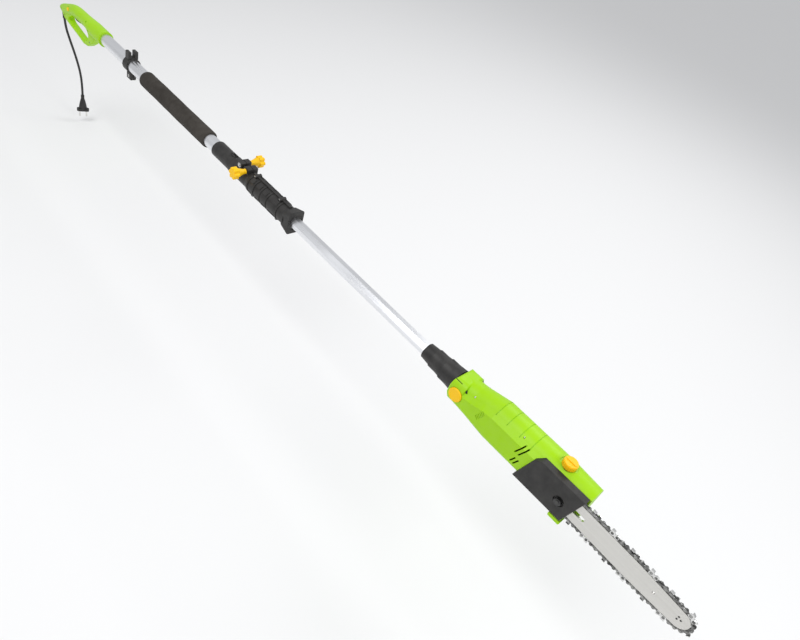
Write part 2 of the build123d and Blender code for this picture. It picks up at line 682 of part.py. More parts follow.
def head_shells():
    """Near and far housing shells."""
    shape = head_body()
    for cut in vent_slots() + crown_grooves():
        shape = shape - cut
    shape = shape + (rod_z(cap_x, cap_y, 33, 45, cap_r + 2) & head_solid())
    shape = shape - rod_z(cap_x, cap_y, cap_base_z - 0.6, 60, cap_r + 3.5)
    shape = shape + rod_y(sprocket_x, sprocket_z, chamber_y + 1, chamber_y + 7, 14.0)
    shape = shape + (rod_y(sprocket_x, sprocket_z, 17, 40, 14.0) & head_solid())
    shape = shape - rod_y(sprocket_x, sprocket_z, 10, 24, 11.0 + FIT)
    shape = shape - rod_z(cap_x, cap_y, 20, 60, 11.0 + FIT)
    shape = shape - rod_y(sprocket_x, sprocket_z, -30, -10, 11.0 + FIT)
    stud_x, stud_z = bar_point(stud_along, 0)
    shape = shape - rod_y(stud_x, stud_z, -30, -10, stud_r + FIT)
    for x, z in head_screws:
        post = rod_y(x, z, -40, 40, 4.5) & head_solid()
        shape = shape + (post - (chamber(chamber_y, 0.3) - roof_wedge(0.4)))
    for x, z in head_screws:
        shape = shape - rod_y(x, z, -24, 40, 1.5 + FIT) - rod_y(x, z, 18, 45, 2.6)
    return left_of(shape), right_of(shape)




def head_screw_set():
    """Screws that join the housing shells."""
    screws = []
    for x, z in head_screws:
        screw = rod_y(x, z, -22, 18, 1.5) + rod_y(x, z, 18, 20, 2.5)
        screws.append(screw - rod_y(x, z, 19.2, 21, 1.0))
    return group(screws)


# ---- Motor and drive ----
def motor_field():
    """Field core around the armature."""
    core = tube_x(1072, 1124, motor_r, 16.5)
    windings = tube_x(1068.5, 1127, motor_r - 1.5, 17.5)
    return Pos(0, motor_y, motor_z) * (core + windings)


def armature():
    """Shaft, core and commutator in one turning piece."""
    shaft = rod_x(1046, sprocket_x - crown_r + 2, 4.0)
    core = rod_x(1074, 1122, 15.8)
    for i in range(12):
        core = core - Rot(30 * i, 0, 0) * block(1073, 1123, -1.2, 1.2, 12, 17)
    commutator = rod_x(1058, 1068, 9.0)
    return Pos(0, motor_y, motor_z) * (shaft + core + commutator)



def cooling_fan():
    """Radial fan on the armature shaft."""
    hub = rod_x(1128, 1138, 7.0) + rod_x(1128, 1130, 22.0)
    for i in range(9):
        hub = hub + Rot(40 * i, 0, 0) * block(1129, 1138, -0.8, 0.8, 6, 22)
    return Pos(0, motor_y, motor_z) * (hub - rod_x(1127, 1139, 4.0 + FIT))


def bearing_x(x0, x1, outer):
    """Ball bearing on the motor shaft, drawn as one ring."""
    return Pos(0, motor_y, motor_z) * (rod_x(x0, x1, outer) - rod_x(x0 - 1, x1 + 1, 4.0 + RUN))


def bearing_brackets():
    """Webs that carry the motor bearings and close the gearbox."""
    webs = []
    for x0, x1, half in ((1049, 1052, 17), (1142, 1145, 19)):
        web = rod_x(x0, x1, half, motor_y, motor_z)
        webs.append(web - rod_x(x0 - 1, x1 + 1, 9.5 + FIT, motor_y, motor_z))
    return group(webs)


def pinion():
    """Toothed pinion on the motor shaft's end."""
    tooth = extrude(Plane.YZ * make_face(Polyline((-1.3, 4.6), (1.3, 4.6), (0.65, 8.2), (-0.65, 8.2), close=True)), 5)
    wheel = rod_x(0, 5, 5.2)
    for i in range(pinion_teeth):
        wheel = wheel + Rot(360 / pinion_teeth * i + 90, 0, 0) * tooth
    wheel = wheel + rod_x(-6, 0, 6.0)
    wheel = Pos(sprocket_x - crown_r - 2.5, motor_y, motor_z) * wheel
    return wheel - rod_x(sprocket_x - 60, sprocket_x, 4.0 + FIT, motor_y, motor_z)


def crown_gear():
    """Face gear on the output shaft, driven by the pinion."""
    root_y = motor_y - pinion_r - 2.0
    disc = rod_y(0, 0, root_y - 4.5, root_y, crown_r + 4.5)
    profile = make_face(Polyline((-1.3, -0.5), (1.3, -0.5), (0.6, 3.0), (-0.6, 3.0), close=True))
    tooth = extrude(Plane(origin=(crown_r - 2.2, root_y, 0), x_dir=(0, 0, 1), z_dir=(1, 0, 0)) * profile, 4.4)
    for i in range(crown_teeth):
        disc = disc + Rot(0, 360 / crown_teeth * (i + 0.5), 0) * tooth
    disc = Pos(sprocket_x, 0, sprocket_z) * disc
    return disc - rod_y(sprocket_x, sprocket_z, -40, 40, shaft_r + FIT)


def output_shaft():
    """Shaft across the head with a groove for the sprocket clip."""
    shaft = rod_y(sprocket_x, sprocket_z, -32.5, 24, shaft_r)
    return shaft - (rod_y(sprocket_x, sprocket_z, -31.6, -30.6, 9) - rod_y(sprocket_x, sprocket_z, -32, -30, 4.2))


def output_bearings():
    """Bearings of the output shaft."""
    pair = []
    for y0, outer in ((-16.5, 11.0), (16.0, 11.0)):
        pair.append(tube_y(sprocket_x, sprocket_z, y0, y0 + 7, outer, shaft_r + RUN))
    return group(pair)


def drive_sprocket():
    """Six-tooth rim sprocket with a central groove that leaves the drive tangs free."""
    star = Circle(9.0)
    for i in range(6):
        star = star + Rot(0, 0, 60 * i) * Pos(9.5, 0) * Rectangle(8.0, 5.5)
    wheel = extrude(Plane.XZ.offset(-(bar_y + 5)) * star, 10)
    wheel = wheel - tube_y(0, 0, bar_y - 1.3, bar_y + 1.3, 20, 8.6)
    wheel = wheel + rod_y(0, 0, bar_y + 5, chamber_y - 0.8, 7.5)
    return Pos(sprocket_x, 0, sprocket_z) * (wheel - rod_y(0, 0, -40, 0, shaft_r + FIT))


def sprocket_clip():
    """Spring clip in the shaft's groove."""
    ring = tube_y(sprocket_x, sprocket_z, -31.5, -30.7, 7.5, 4.3)
    return ring - block(sprocket_x - 2.5, sprocket_x + 2.5, -32, -30, sprocket_z - 9, sprocket_z)


# ---- Bar and chain: built along their own x, with the sprocket's centre at zero ----
def bar_place():
    """Bar frame: at the sprocket, in the bar's plane, drooping by bar_droop."""
    return Location((sprocket_x, bar_y, sprocket_z), (0, bar_droop, 0))


def bar_point(along, up):
    """Place in X and Z of a point given in the bar frame."""
    a = math.radians(bar_droop)
    return (sprocket_x + along * math.cos(a) + up * math.sin(a), sprocket_z - along * math.sin(a) + up * math.cos(a))



def bar_outline(inset=0.0):
    """Bar plate: round heel, parallel rails and a tapered round nose."""
    half, heel = bar_half - inset, bar_half - inset
    lean = math.asin((bar_half - nose_r) / (nose_centre - bar_shoulder))
    nose = nose_r - inset
    heel_x = bar_rear + bar_half
    top_shoulder = (bar_shoulder, half)
    top_nose = (nose_centre + nose * math.sin(lean), nose * math.cos(lean))
    edges = [
        Line((heel_x, half), top_shoulder), Line(top_shoulder, top_nose),
        ThreePointArc(top_nose, (nose_centre + nose, 0), (top_nose[0], -top_nose[1])),
        Line((top_nose[0], -top_nose[1]), (bar_shoulder, -half)), Line((bar_shoulder, -half), (heel_x, -half)),
        ThreePointArc((heel_x, -half), (heel_x - heel, 0), (heel_x, half)),
    ]
    return make_face(edges)


def bar_layer(face, y0, y1):
    """One layer of the bar, in the bar frame."""
    return extrude(Plane.XZ.offset(-y1) * face, y1 - y0)


def guide_bar():
    """Laminated bar with a groove all round, a slot, two tension holes and the nose sprocket's pocket."""
    half, web = bar_thick / 2, groove_width / 2
    plate = bar_layer(bar_outline(), -half, half)
    ring = bar_outline() - bar_outline(groove_depth)
    plate = plate - bar_layer(ring, -web, web)
    pocket = Pos(nose_centre, 0) * Circle(nose_r - 0.5)
    plate = plate - bar_layer(pocket, -web, web)
    slot_mid = (slot_start + slot_end) / 2
    plate = plate - bar_layer(Pos(slot_mid, 0) * SlotOverall(slot_end - slot_start, slot_width), -9, 9)
    for side in (-1, 1):
        plate = plate - bar_layer(Pos(tension_along, side * tension_up) * Circle(2.6), -9, 9)
    plate = plate - bar_layer(Pos(oil_hole_along, 0) * Circle(2.6), -9, 9)
    for x, z in nose_rivets:
        plate = plate - bar_layer(Pos(x, z) * Circle(1.5 + FIT), -9, 9)
    return bar_place() * plate




def nose_sprocket():
    """Thin sprocket in the bar's nose, turning on a riveted race."""
    teeth = 7
    outline = Circle(9.6)
    for i in range(teeth):
        outline = outline + Rot(0, 0, 360 / teeth * i) * Pos(10.0, 0) * Rectangle(4.4, 4.4)
    wheel = bar_layer(Pos(nose_centre, 0) * (outline - Circle(6.0 + RUN)), -0.6, 0.6)
    return bar_place() * wheel


def nose_race():
    """Race that the nose sprocket turns on, with its rivets."""
    disc = bar_layer(Pos(nose_centre, 0) * Circle(6.0), -0.75, 0.75)
    for x, z in nose_rivets:
        disc = disc + bar_layer(Pos(x, z) * Circle(1.5), -bar_thick / 2 - 0.3, bar_thick / 2 + 0.3)
    return bar_place() * disc


def chain_circles():
    """Rivet line: radii about centres on the bar's axis."""
    rail = bar_half + rivet_rise
    return [(0.0, drive_pitch_r), (bar_rear + bar_half, rail), (bar_shoulder, rail),
            (nose_centre, nose_r + rivet_rise)]


def chain_line():
    """Length of the rivet line and a function giving place and heading at a distance along it."""
    spans = []
    circles = chain_circles()
    leans = [math.asin((b[1] - a[1]) / (b[0] - a[0])) for a, b in zip(circles, circles[1:])]
    for i, (x, r) in enumerate(circles):
        turn_in = math.pi / 2 + (leans[i - 1] if i > 0 else 0)
        turn_out = math.pi / 2 + (leans[i] if i < len(leans) else 0)
        if 0 < i < len(circles) - 1:
            spans.append(("arc", x, r, turn_in, turn_out))
        if i == 0:
            spans.append(("arc", x, r, math.pi, turn_out))
        if i == len(circles) - 1:
            spans.append(("arc", x, r, turn_in, 0.0))
        if i < len(leans):
            nx, nr = circles[i + 1]
            spans.append(("line", (x + r * math.cos(turn_out), r * math.sin(turn_out)),
                          (nx + nr * math.cos(turn_out), nr * math.sin(turn_out))))
    half = []
    total = 0.0
    for span in spans:
        if span[0] == "arc":
            length = span[2] * abs(span[3] - span[4])
        else:
            length = math.dist(span[1], span[2])
        half.append((total, length, span))
        total += length

    def place(s):
        s = s % (2 * total)
        mirror = s > total
        t = 2 * total - s if mirror else s
        for start, length, span in half:
            if t <= start + length + 1e-9:
                u = (t - start) / length if length > 0 else 0.0
                if span[0] == "arc":
                    a = span[3] + (span[4] - span[3]) * u
                    x, z = span[1] + span[2] * math.cos(a), span[2] * math.sin(a)
                    heading = a - math.pi / 2
                else:
                    (x0, z0), (x1, z1) = span[1], span[2]
                    x, z = x0 + (x1 - x0) * u, z0 + (z1 - z0) * u
                    heading = math.atan2(z1 - z0, x1 - x0)
                if mirror:
                    return x, -z, math.pi - heading
                return x, z, heading
        return x, z, heading

    return 2 * total, place


def link_between(shape, first, second):
    """Put a link, drawn along +x about its own middle, between two rivets of the line."""
    (x0, z0), (x1, z1) = first, second
    angle = math.degrees(math.atan2(z1 - z0, x1 - x0))
    middle = ((x0 + x1) / 2, 0, (z0 + z1) / 2)
    return bar_place() * Location(middle, (0, -angle, 0)) * shape


def chain_parts():
    """Drive links, tie straps, cutters and rivets of the whole loop."""
    length, place = chain_line()
    count = 4 * round(length / nominal_pitch / 4)
    step = length / (2 * count)
    rivets = [place(i * step)[:2] for i in range(2 * count)]
    gauge, clear = link_gauge / 2, link_gauge / 2 + 0.06
    hole = Circle(1.95) + Pos(step, 0) * Circle(1.95)
    drive_face = make_face(Polyline(
        (-2.7, -2.2), (-2.7, 1.4), (-1.2, 2.6), (1.4, 2.4), (step / 2, 0.6), (step - 1.4, 2.4), (step + 1.2, 2.6),
        (step + 2.7, 1.4), (step + 2.7, -2.2), (step / 2 + 2.6, -4.4), (step / 2 + 1.0, -8.6),
        (step / 2 - 1.4, -8.6), (step / 2 - 2.6, -4.4), close=True))
    centred = Pos(-step / 2, 0, 0)
    drive = centred * bar_layer(drive_face - hole, -gauge, gauge)
    strap_face = make_face(Polyline(
        (-2.4, -3.7), (-3.0, -0.5), (-2.2, 2.1), (0, 2.9), (2.4, 1.3), (step / 2, 0.7), (step - 2.4, 1.3), (step, 2.9),
        (step + 2.2, 2.1), (step + 3.0, -0.5), (step + 2.4, -3.7), (step - 2.0, -3.7), (step / 2, -1.6), (2.0, -3.7),
        close=True))
    strap = centred * bar_layer(strap_face - hole, 0, strap_thick)
    cutter_face = make_face(Polyline(
        (-3.4, -3.9), (-4.0, 3.0), (-3.6, 6.2), (2.2, 5.6), (3.2, 2.8), (step - 3.2, 2.6), (step - 1.0, 5.0),
        (step + 2.4, 5.3), (step + 3.2, 1.0), (step + 2.5, -3.9), (step - 2.2, -3.9), (step / 2, -2.4),
        (2.2, -3.9), close=True))
    cutter = bar_layer(cutter_face - hole, 0, strap_thick)
    top_face = make_face(Polyline((-3.9, 5.0), (-3.6, 6.2), (2.3, 5.6), (2.2, 4.5), close=True))
    left_cutter = centred * (cutter + bar_layer(top_face, -3.4, strap_thick))
    right_cutter = centred * (cutter + bar_layer(top_face, 0, strap_thick + 3.4))
    rivet = bar_layer(Circle(1.85), -clear - strap_thick, clear + strap_thick)
    heads = [bar_layer(Circle(2.5), y, y + 0.35) for y in (-clear - strap_thick - 0.38, clear + strap_thick + 0.03)]
    rivet = rivet + bar_layer(Circle(1.85), -clear - strap_thick - 0.3, clear + strap_thick + 0.3) + heads[0] + heads[1]
    drives, straps, cutters, pins = [], [], [], []
    for i in range(count):
        a, b, c = rivets[2 * i], rivets[2 * i + 1], rivets[(2 * i + 2) % (2 * count)]
        drives.append(link_between(drive, a, b))
        near, far = Pos(0, -clear - strap_thick, 0), Pos(0, clear, 0)
        if i % 4 == 0:
            cutters.append(link_between(near * right_cutter, b, c))
            straps.append(link_between(far * strap, b, c))
        elif i % 4 == 2:
            cutters.append(link_between(far * left_cutter, b, c))
            straps.append(link_between(near * strap, b, c))
        else:
            straps.append(link_between(near * strap, b, c))
            straps.append(link_between(far * strap, b, c))
    for x, z in rivets:
        pins.append(bar_place() * Pos(x, 0, z) * rivet)
    print("chain", count, "drive links, pitch", round(length / count, 2))
    return group(drives), group(straps), group(cutters), group(pins)


# ---- Bar fixing and tension ----
def bar_stud():
    """Stud that the bar slides on, fixed in the head."""
    x, z = bar_point(stud_along, 0)
    return rod_y(x, z, chamber_y + 3, chamber_y + 8, 7.0) + rod_y(x, z, cover_face_y - 4.5, chamber_y + 4, stud_r)


def cover_nut():
    """Round-flanged hexagon nut that holds the cover and bar."""
    x, z = bar_point(stud_along, 0)
    seat = cover_face_y + 2.8
    nut = rod_y(x, z, seat - 1.6, seat - 0.1, 8.0) + hex_y(x, z, seat - 6.5, seat - 1.6, 13.0)
    return nut - rod_y(x, z, -60, 0, stud_r + RUN)


def tension_screw():
    """Screw along the bar that moves the tension block."""
    shank = Pos(tension_along - 14, 0, tension_up) * Rot(0, 90, 0) * Cylinder(
        tension_r, 58, align=(Align.CENTER, Align.CENTER, Align.MIN))
    head = Pos(tension_along + 44, 0, tension_up) * Rot(0, 90, 0) * Cylinder(
        tension_r + 0.6, 3, align=(Align.CENTER, Align.CENTER, Align.MIN))
    return bar_place() * Pos(0, tension_lane, 0) * (shank + head)




def tension_block():
    """Threaded block with a pin in the bar's tension hole."""
    body = Pos(tension_along, tension_lane, tension_up) * Box(8, 4.2, 8)
    body = body - Pos(tension_along, tension_lane, tension_up) * Rot(0, 90, 0) * Cylinder(tension_r + RUN, 20)
    pin = bar_layer(Pos(tension_along, tension_up) * Circle(2.4), -bar_thick / 2, tension_lane - 2.0)
    return bar_place() * (body + pin)


def tension_bracket():
    """Two ears on the head that hold the tension screw."""
    ears = []
    for x in (tension_along - 12, tension_along + 39):
        ear = Pos(x, tension_lane + 0.1, tension_up) * Box(3, 4.6, 9)
        ear = ear - Pos(x, tension_lane, tension_up) * Rot(0, 90, 0) * Cylinder(tension_r + RUN, 9)
        ears.append(bar_place() * ear)
    return group(ears)


# ---- Cover ----
def cover_profile(inset=0.0):
    """Cover's outer shape: side outline with a bevelled upper edge."""
    outline = offset(side_face(cover_outline), -inset) if inset > 0 else side_face(cover_outline)
    corners = outline.vertices().sort_by(Axis.X)
    outline = fillet(corners[1:3], 9.5 - min(inset, 3.0))
    return outline


def sprocket_cover():
    """Shell over the sprocket and the bar's heel, open towards the head, below and at the front."""
    shape = plate_y(cover_profile(), cover_face_y, chamber_y - 0.3) - roof_wedge(0)
    shape = fillet(shape.faces().sort_by(Axis.Y)[0].edges(), 1.8)
    hollow = plate_y(cover_profile(cover_wall), cover_face_y + cover_wall, 0)
    mouth = plate_y(side_face([(1255, -33.5), (1268, 31.3), (1310, 31.3), (1310, -33.5)]), cover_face_y + cover_wall, 0)
    outlet = block(1189, 1300, cover_face_y + cover_wall, 0, -60, -20)
    shape = shape - ((hollow + mouth + outlet) - roof_wedge(-1.45 * cover_wall))
    x, z = bar_point(stud_along, 0)
    shape = shape + rod_y(x, z, cover_face_y, bar_y - bar_thick / 2 - 0.1, 12.0)
    shape = shape - rod_y(x, z, cover_face_y - 1, cover_face_y + 2.8, 10.0)
    return shape - rod_y(x, z, -60, 0, stud_r + GAP)


# ---- Oil system ----
def oil_tank():
    """Tank under the crown with a filler neck."""
    tank = block(1196, 1272, -9, 12, 24, 31)
    tank = fillet(tank.edges().filter_by(Axis.Z), 4.0)
    neck = rod_z(cap_x, cap_y, 30, cap_base_z - 0.2, 11.0) & block(1196, 1272, -14, 12, 20, 60)
    tank = tank + neck
    inner = block(1198, 1270, -7, 10, 26, 29) + rod_z(cap_x, cap_y, 28, 45, neck_bore_r)
    return tank - inner


def oil_cap():
    """Knurled cap with a finger bar and a plug in the filler neck."""
    disc = Circle(cap_r)
    for i in range(20):
        disc = disc - Rot(0, 0, 18 * i) * Pos(cap_r + 0.5, 0) * Circle(1.1)
    skirt = extrude(Plane.XY.offset(cap_base_z) * disc, cap_top_z - 3 - cap_base_z)
    crown_disc = fillet(rod_z(0, 0, cap_top_z - 3, cap_top_z - 1.6, cap_r - 1).edges().sort_by(Axis.Z)[-1], 0.8)
    bar = fillet(block(-10, 10, -2.2, 2.2, cap_top_z - 2, cap_top_z).edges().filter_by(Axis.Z), 2.0)
    plug = rod_z(0, 0, cap_base_z - 6, cap_base_z, neck_bore_r - RUN)
    return Pos(cap_x, cap_y, 0) * (skirt + crown_disc + bar + plug)



def handle_lead():
    """Lead from the switch into the outer tube."""
    return rod_x(switch_x + 22.3, tube_rear_x + 4, 3.2, 0, switch_z + 1)



# ---- Write every node ----
handle_left, handle_right = handle_pieces()
save("handle_shell_left", handle_left)
save("handle_shell_right", handle_right)
save("handle_screws", handle_screw_set())
save("trigger", trigger())
save("trigger_pin", rod_y(*trigger_pivot, -10.5, 10.5, 1.5))
save("trigger_spring", trigger_spring())
save("switch", switch_body())
save("lock_button", lock_button())
save("strain_relief", strain_relief())
save("mains_cord", mains_cord())
save("plug_body", plug_body())
save("plug_pins", plug_pins())

save("outer_tube", tube_x(tube_rear_x, tube_front_x, tube_r, tube_r - tube_wall))
save("foam_grip", foam_grip())
save("cord_clip", cord_clip())
save("clip_screw", clip_screw())

save("collar", collar())
clamp_left, clamp_right = clamp_shells()
save("clamp_shell_left", clamp_left)
save("clamp_shell_right", clamp_right)
save("clamp_screws", shell_screw_set())
save("near_knob", clamp_knob(near_knob_x, -1))
save("far_knob", clamp_knob(far_knob_x, 1))
save("near_knob_bolt", clamp_bolt(near_knob_x, -1))
save("far_knob_bolt", clamp_bolt(far_knob_x, 1))
save("clamp_nuts", clamp_nuts())
save("guide_bush", octagon_ring(clamp_front_x - 18, clamp_front_x - 1, clamp_bore_r - FIT))

save("inner_tube", inner_tube())
save("slide_bush", slide_bush())
save_head("connector_sleeve", connector_sleeve())
save_head("pivot_pin", pivot_pin())
save_head("pivot_button", pivot_button())

head_near, head_far = head_shells()
save_head("head_shell_near", head_near)
save_head("head_shell_far", head_far)
save_head("head_screws", head_screw_set())
save_head("motor_field", motor_field())
save_head("armature", armature())
save_head("cooling_fan", cooling_fan())
save_head("motor_bearings", group([bearing_x(1049, 1056, 9.5), bearing_x(1142, 1149, 9.5)]))
save_head("bearing_brackets", bearing_brackets())
save_head("pinion", pinion())
save_head("crown_gear", crown_gear())
save_head("output_shaft", output_shaft())
save_head("output_bearings", output_bearings())
save_head("drive_sprocket", drive_sprocket())
save_head("sprocket_clip", sprocket_clip())

save_head("guide_bar", guide_bar())
save_head("nose_sprocket", nose_sprocket())
save_head("nose_race", nose_race())
chain_drive, chain_straps, chain_cutters, chain_rivets = chain_parts()
save_head("chain_drive_links", chain_drive)
save_head("chain_tie_straps", chain_straps)
save_head("chain_cutters", chain_cutters)
save_head("chain_rivets", chain_rivets)
save_head("bar_stud", bar_stud())
save_head("cover_nut", cover_nut())
save_head("sprocket_cover", sprocket_cover())
save_head("tension_screw", tension_screw())
save_head("tension_block", tension_block())
save_head("tension_bracket", tension_bracket())
save_head("oil_tank", oil_tank())
save_head("oil_cap", oil_cap())
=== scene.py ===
import json
import math

import bpy
import numpy as np
from mathutils import Matrix, Vector


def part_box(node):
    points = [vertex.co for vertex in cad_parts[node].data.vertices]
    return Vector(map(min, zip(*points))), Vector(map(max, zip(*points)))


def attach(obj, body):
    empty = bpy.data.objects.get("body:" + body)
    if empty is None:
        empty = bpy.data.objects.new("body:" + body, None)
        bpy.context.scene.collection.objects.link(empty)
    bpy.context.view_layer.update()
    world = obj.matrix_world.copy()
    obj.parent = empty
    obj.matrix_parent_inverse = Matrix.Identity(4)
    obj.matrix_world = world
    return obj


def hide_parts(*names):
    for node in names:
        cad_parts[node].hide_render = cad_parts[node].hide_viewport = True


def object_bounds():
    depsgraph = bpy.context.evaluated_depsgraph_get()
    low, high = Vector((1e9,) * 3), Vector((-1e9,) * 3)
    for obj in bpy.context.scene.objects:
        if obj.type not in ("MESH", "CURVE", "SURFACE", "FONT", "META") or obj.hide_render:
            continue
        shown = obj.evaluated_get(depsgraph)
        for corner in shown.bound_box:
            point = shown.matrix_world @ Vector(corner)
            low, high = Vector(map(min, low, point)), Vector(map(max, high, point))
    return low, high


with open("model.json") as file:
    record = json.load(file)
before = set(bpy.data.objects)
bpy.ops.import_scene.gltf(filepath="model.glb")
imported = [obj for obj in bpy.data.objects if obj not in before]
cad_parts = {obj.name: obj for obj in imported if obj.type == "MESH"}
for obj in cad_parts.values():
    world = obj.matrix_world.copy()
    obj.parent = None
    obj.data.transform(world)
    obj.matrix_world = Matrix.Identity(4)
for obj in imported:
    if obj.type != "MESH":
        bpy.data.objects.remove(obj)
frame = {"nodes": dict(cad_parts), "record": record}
cad_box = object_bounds()

# ---- Camera: over the bar's side, looking back along the pole ----
CAMERA_AZIMUTH, CAMERA_ELEVATION, CAMERA_ROLL = 32.84, 39.46, 21.6
CAMERA_PLACE = (1.3326, -0.7825, 0.7742)
CAMERA_LENS = 28.75
SENSOR_WIDTH = 36.0
CLIP_NEAR, CLIP_FAR = 0.01, 50.0


def set_camera():
    """Camera whose back vector is (sin a cos e, -cos a cos e, sin e), turned by the roll about it."""
    a, e, s = (math.radians(v) for v in (CAMERA_AZIMUTH, CAMERA_ELEVATION, CAMERA_ROLL))
    back = np.array([math.sin(a) * math.cos(e), -math.cos(a) * math.cos(e), math.sin(e)])
    right = np.cross((0, 0, 1), back)
    right = right / np.linalg.norm(right)
    up = np.cross(back, right)
    rolled_right = math.cos(s) * right + math.sin(s) * up
    rolled_up = -math.sin(s) * right + math.cos(s) * up
    data = bpy.data.cameras.new("camera")
    data.lens = CAMERA_LENS
    data.sensor_width = SENSOR_WIDTH
    data.clip_start, data.clip_end = CLIP_NEAR, CLIP_FAR
    camera = bpy.data.objects.new("camera", data)
    rows = [[rolled_right[i], rolled_up[i], back[i], CAMERA_PLACE[i]] for i in range(3)]
    camera.matrix_world = Matrix(rows + [[0, 0, 0, 1]])
    bpy.context.scene.collection.objects.link(camera)
    bpy.context.scene.camera = camera


# ---- Shader groups ----
NOISE_LOW, NOISE_HIGH = 0.3, 0.7        # the part of a noise texture's range that is used
GRAIN_HEIGHT, STREAK_HEIGHT = 0.0002, 0.00006
DUST_SCALE, SLOW_SCALE = 70.0, 9.0
MOULDED_DUST, METAL_DUST = 0.03, 0.02


def new_group(name, inputs, outputs):
    """Empty shader node group with named sockets: (name, socket type, default)."""
    group = bpy.data.node_groups.new(name, "ShaderNodeTree")
    for label, kind, value in inputs:
        socket = group.interface.new_socket(label, in_out="INPUT", socket_type=kind)
        if value is not None:
            socket.default_value = value
    for label, kind in outputs:
        group.interface.new_socket(label, in_out="OUTPUT", socket_type=kind)
    return group, group.nodes.new("NodeGroupInput"), group.nodes.new("NodeGroupOutput")


def noise(group, vector, scale, detail=3.0):
    """Noise texture node driven by two sockets or numbers."""
    node = group.nodes.new("ShaderNodeTexNoise")
    node.inputs["Detail"].default_value = detail
    group.links.new(vector, node.inputs["Vector"])
    if isinstance(scale, float):
        node.inputs["Scale"].default_value = scale
    else:
        group.links.new(scale, node.inputs["Scale"])
    return node


def map_range(group, value, low, high):
    """Value from 0..1 noise stretched to low..high, both sockets or numbers."""
    node = group.nodes.new("ShaderNodeMapRange")
    node.inputs["From Min"].default_value = NOISE_LOW
    node.inputs["From Max"].default_value = NOISE_HIGH
    group.links.new(value, node.inputs["Value"])
    for label, bound in (("To Min", low), ("To Max", high)):
        if isinstance(bound, float):
            node.inputs[label].default_value = bound
        else:
            group.links.new(bound, node.inputs[label])
    return node


def mottled_group():
    """Two close colours mixed by slow noise, with a roughness that varies and a fine grain's normal."""
    group, source, sink = new_group("mottled_finish", [
        ("Vector", "NodeSocketVector", None), ("Colour", "NodeSocketColor", (0.5, 0.5, 0.5, 1)),
        ("Shade", "NodeSocketColor", (0.4, 0.4, 0.4, 1)), ("Patch Scale", "NodeSocketFloat", 12.0),
        ("Grain Scale", "NodeSocketFloat", 900.0), ("Grain Depth", "NodeSocketFloat", 0.1),
        ("Rough Low", "NodeSocketFloat", 0.3), ("Rough High", "NodeSocketFloat", 0.4),
    ], [("Colour", "NodeSocketColor"), ("Roughness", "NodeSocketFloat"), ("Normal", "NodeSocketVector")])
    patches = noise(group, source.outputs["Vector"], source.outputs["Patch Scale"], 4.0)
    grain = noise(group, source.outputs["Vector"], source.outputs["Grain Scale"], 2.0)
    spread = map_range(group, patches.outputs["Fac"], 0.0, 1.0)
    mix = group.nodes.new("ShaderNodeMix")
    mix.data_type = "RGBA"
    group.links.new(spread.outputs["Result"], mix.inputs["Factor"])
    group.links.new(source.outputs["Colour"], mix.inputs["A"])
    group.links.new(source.outputs["Shade"], mix.inputs["B"])
    group.links.new(mix.outputs["Result"], sink.inputs["Colour"])
    rough = map_range(group, grain.outputs["Fac"], source.outputs["Rough Low"], source.outputs["Rough High"])
    group.links.new(rough.outputs["Result"], sink.inputs["Roughness"])
    bump = group.nodes.new("ShaderNodeBump")
    bump.inputs["Distance"].default_value = GRAIN_HEIGHT
    group.links.new(source.outputs["Grain Depth"], bump.inputs["Strength"])
    group.links.new(grain.outputs["Fac"], bump.inputs["Height"])
    group.links.new(bump.outputs["Normal"], sink.inputs["Normal"])
    return group


def brushed_group():
    """Fine streaks along one direction: noise on coordinates stretched along the grain."""
    group, source, sink = new_group("brushed_streaks", [
        ("Vector", "NodeSocketVector", None), ("Colour", "NodeSocketColor", (0.6, 0.6, 0.6, 1)),
        ("Shade", "NodeSocketColor", (0.5, 0.5, 0.5, 1)),
        ("Stretch", "NodeSocketVector", (6.0, 900.0, 900.0)),
        ("Depth", "NodeSocketFloat", 0.15), ("Rough Low", "NodeSocketFloat", 0.25),
        ("Rough High", "NodeSocketFloat", 0.4),
    ], [("Colour", "NodeSocketColor"), ("Roughness", "NodeSocketFloat"), ("Normal", "NodeSocketVector")])
    scaled = group.nodes.new("ShaderNodeVectorMath")
    scaled.operation = "MULTIPLY"
    group.links.new(source.outputs["Vector"], scaled.inputs[0])
    group.links.new(source.outputs["Stretch"], scaled.inputs[1])
    streaks = noise(group, scaled.outputs["Vector"], 1.0, 4.0)
    slow = noise(group, source.outputs["Vector"], SLOW_SCALE, 3.0)
    tone = map_range(group, streaks.outputs["Fac"], 0.0, 1.0)
    mix = group.nodes.new("ShaderNodeMix")
    mix.data_type = "RGBA"
    group.links.new(tone.outputs["Result"], mix.inputs["Factor"])
    group.links.new(source.outputs["Colour"], mix.inputs["A"])
    group.links.new(source.outputs["Shade"], mix.inputs["B"])
    group.links.new(mix.outputs["Result"], sink.inputs["Colour"])
    rough = map_range(group, slow.outputs["Fac"], source.outputs["Rough Low"], source.outputs["Rough High"])
    group.links.new(rough.outputs["Result"], sink.inputs["Roughness"])
    bump = group.nodes.new("ShaderNodeBump")
    bump.inputs["Distance"].default_value = STREAK_HEIGHT
    group.links.new(source.outputs["Depth"], bump.inputs["Strength"])
    group.links.new(streaks.outputs["Fac"], bump.inputs["Height"])
    group.links.new(bump.outputs["Normal"], sink.inputs["Normal"])
    return group


